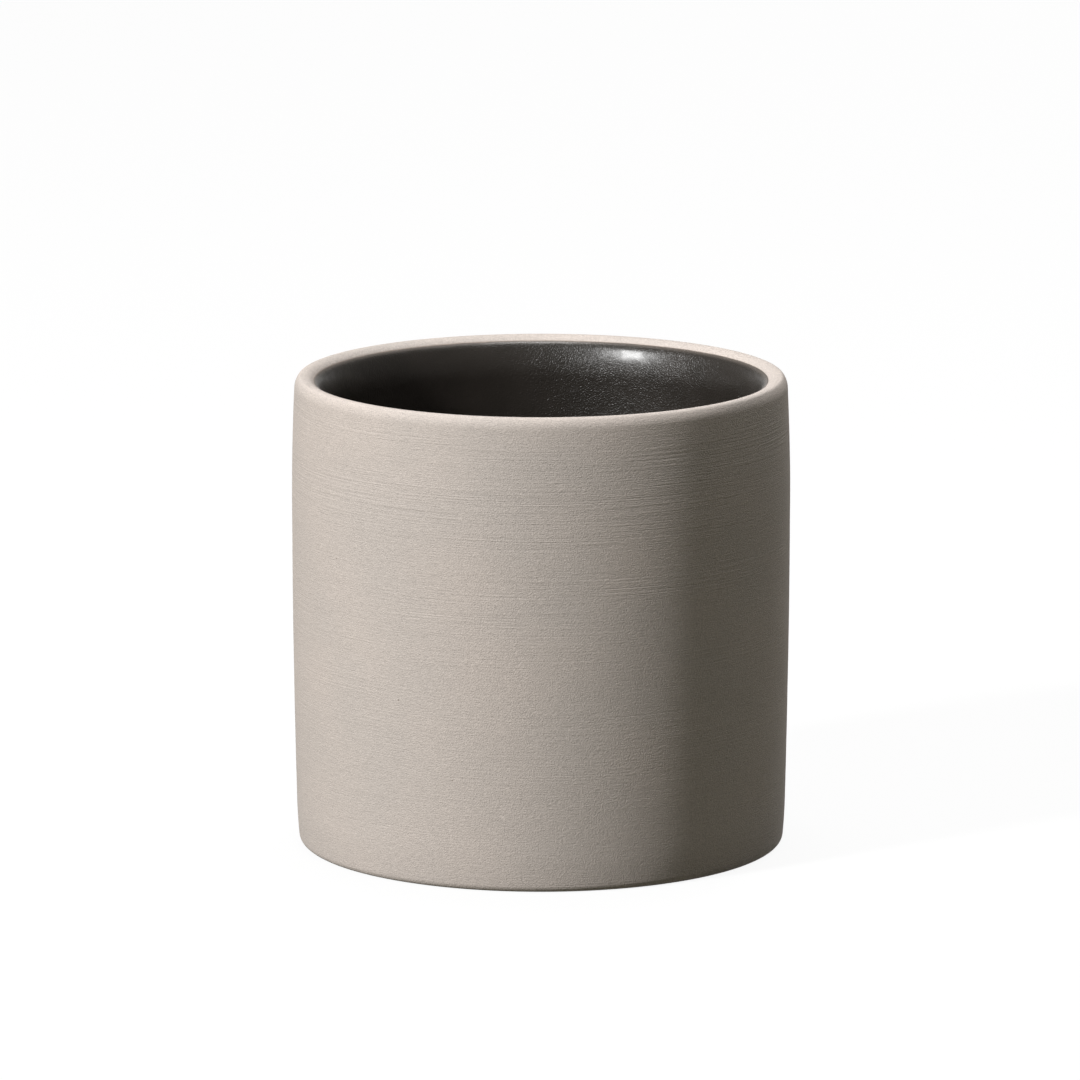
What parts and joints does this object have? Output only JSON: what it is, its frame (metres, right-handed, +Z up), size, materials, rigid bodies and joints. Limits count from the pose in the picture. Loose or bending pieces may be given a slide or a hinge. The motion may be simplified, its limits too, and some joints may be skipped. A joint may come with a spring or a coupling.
{
  "type": "handleless tea cup",
  "caption": "Handleless stoneware tea cup with a straight, faintly barrelled wall, bare clay outside, dark satin glaze inside, a rounded rim and a foot ring to stand on.",
  "frame": {"origin": "middle of the circle that the cup stands on, on the table plane", "axes": "+Z up along the cup's axis, towards the rim; X and Y are any two directions across it"},
  "size_m": [0.06, 0.06, 0.057],
  "materials": {
    "bare_clay": "unglazed taupe-grey stoneware, matt and finely sanded, with fine turning lines",
    "dark_glaze": "dark brown-black satin glaze"
  },
  "bodies": {
    "root": {"clay_body": "bare_clay", "glaze_lining": "dark_glaze"}
  },
  "joints": []
}
